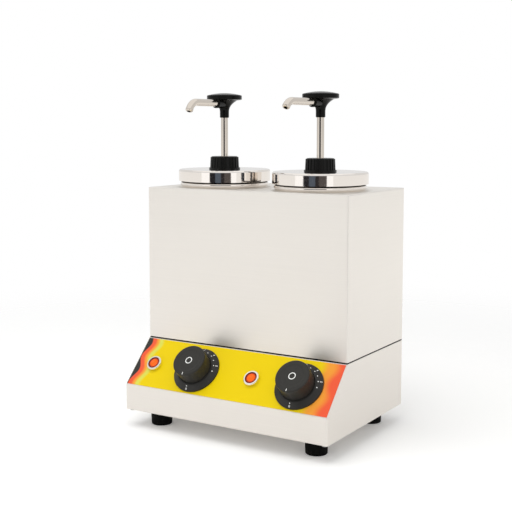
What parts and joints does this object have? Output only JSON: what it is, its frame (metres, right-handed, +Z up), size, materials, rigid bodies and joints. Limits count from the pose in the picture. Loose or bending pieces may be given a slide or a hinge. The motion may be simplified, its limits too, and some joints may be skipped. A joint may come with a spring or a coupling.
{
  "type": "hot fudge topping warmer",
  "caption": "Countertop warmer with lidded pump jars in heated wells, a sloping control panel with thermostat knobs and pilot lamps, and rubber feet.",
  "frame": {"origin": "on the counter, at the middle of the footprint, which runs from the knobs' faces to the cable gland", "axes": "+X along the width, to the right as seen from the controls; -Y is the side of the controls and spouts; +Z up"},
  "size_m": [0.34, 0.2749, 0.4995],
  "materials": {
    "satin_stainless": "fine satin sheet, soft reflections",
    "polished_stainless": "polished stainless steel",
    "screw_steel": "zinc-plated steel",
    "foot_rubber": "matt black rubber",
    "overlay_print": "printed yellow film, warm colours at its ends",
    "black_plastic": "moulded black plastic",
    "knob_plastic": "fine-textured charcoal plastic",
    "bezel_plastic": "bright moulded ring",
    "lamp_lens": "translucent orange-red lens",
    "white_plastic": "natural white plastic",
    "thermostat_steel": "plated pressed steel",
    "heater_brass": "plated brass and copper"
  },
  "bodies": {
    "housing": {"base_shell": "satin_stainless", "base_floor": "satin_stainless", "floor_screws": "screw_steel", "foot_front_left": "foot_rubber", "foot_front_right": "foot_rubber", "foot_rear_left": "foot_rubber", "foot_rear_right": "foot_rubber", "foot_screws": "screw_steel", "control_overlay": "overlay_print", "casing_gasket": "foot_rubber", "casing_screws": "screw_steel", "upper_casing": "satin_stainless", "deck": "satin_stainless", "rear_panel": "satin_stainless", "cable_gland": "black_plastic", "gland_nut": "black_plastic", "terminal_block": "white_plastic", "heating_well_left": "polished_stainless", "heater_band_left": "heater_brass", "sensor_left": "heater_brass", "thermostat_left": "thermostat_steel", "scale_ring_left": "knob_plastic", "scale_screws": "screw_steel", "lamp_body_left": "black_plastic", "lamp_bezel_left": "bezel_plastic", "lamp_lens_left": "lamp_lens", "heating_well_right": "polished_stainless", "heater_band_right": "heater_brass", "sensor_right": "heater_brass", "thermostat_right": "thermostat_steel", "scale_ring_right": "knob_plastic", "lamp_body_right": "black_plastic", "lamp_bezel_right": "bezel_plastic", "lamp_lens_right": "lamp_lens"},
    "jar_left": {"jar_left": "polished_stainless"},
    "pump_left": {"lid_left": "polished_stainless", "pump_cap_left": "black_plastic", "pump_barrel_left": "polished_stainless", "foot_valve_left": "white_plastic", "valve_ball_left": "polished_stainless", "return_spring_left": "screw_steel"},
    "plunger_left": {"piston_left": "white_plastic"},
    "head_left": {"rod_left": "polished_stainless", "handle_left": "black_plastic", "spout_left": "polished_stainless"},
    "dial_left": {"knob_left": "knob_plastic", "spindle_left": "screw_steel"},
    "jar_right": {"jar_right": "polished_stainless"},
    "pump_right": {"lid_right": "polished_stainless", "pump_cap_right": "black_plastic", "pump_barrel_right": "polished_stainless", "foot_valve_right": "white_plastic", "valve_ball_right": "polished_stainless", "return_spring_right": "screw_steel"},
    "plunger_right": {"piston_right": "white_plastic"},
    "head_right": {"rod_right": "polished_stainless", "handle_right": "black_plastic", "spout_right": "polished_stainless"},
    "dial_right": {"knob_right": "knob_plastic", "spindle_right": "screw_steel"}
  },
  "joints": [
    {"name": "jar_lift_left", "type": "slide", "parent": "housing", "child": "jar_left", "axis": [0, 0, 1], "range_m": [0, 0.2]},
    {"name": "pump_lift_left", "type": "slide", "parent": "jar_left", "child": "pump_left", "axis": [0, 0, 1], "range_m": [0, 0.21]},
    {"name": "pump_stroke_left", "type": "slide", "parent": "pump_left", "child": "plunger_left", "axis": [0, 0, -1], "range_m": [0, 0.05], "stiffness_N_per_m": 150, "springref_m": -0.06, "deforming": ["return_spring_left"]},
    {"name": "head_swivel_left", "type": "hinge", "parent": "plunger_left", "child": "head_left", "pos_m": [-0.0835, 0.01146, 0.3117], "axis": [0, 0, 1], "continuous": true},
    {"name": "dial_turn_left", "type": "hinge", "parent": "housing", "child": "dial_left", "pos_m": [-0.05895, -0.09999, 0.09314], "axis": [0, 0.7194, -0.6946], "range_deg": [0, 270]},
    {"name": "jar_lift_right", "type": "slide", "parent": "housing", "child": "jar_right", "axis": [0, 0, 1], "range_m": [0, 0.2]},
    {"name": "pump_lift_right", "type": "slide", "parent": "jar_right", "child": "pump_right", "axis": [0, 0, 1], "range_m": [0, 0.21]},
    {"name": "pump_stroke_right", "type": "slide", "parent": "pump_right", "child": "plunger_right", "axis": [0, 0, -1], "range_m": [0, 0.05], "stiffness_N_per_m": 150, "springref_m": -0.06, "deforming": ["return_spring_right"]},
    {"name": "head_swivel_right", "type": "hinge", "parent": "plunger_right", "child": "head_right", "pos_m": [0.0835, 0.01146, 0.3117], "axis": [0, 0, 1], "continuous": true},
    {"name": "dial_turn_right", "type": "hinge", "parent": "housing", "child": "dial_right", "pos_m": [0.11255, -0.09999, 0.09314], "axis": [0, 0.7194, -0.6946], "range_deg": [0, 270]}
  ]
}
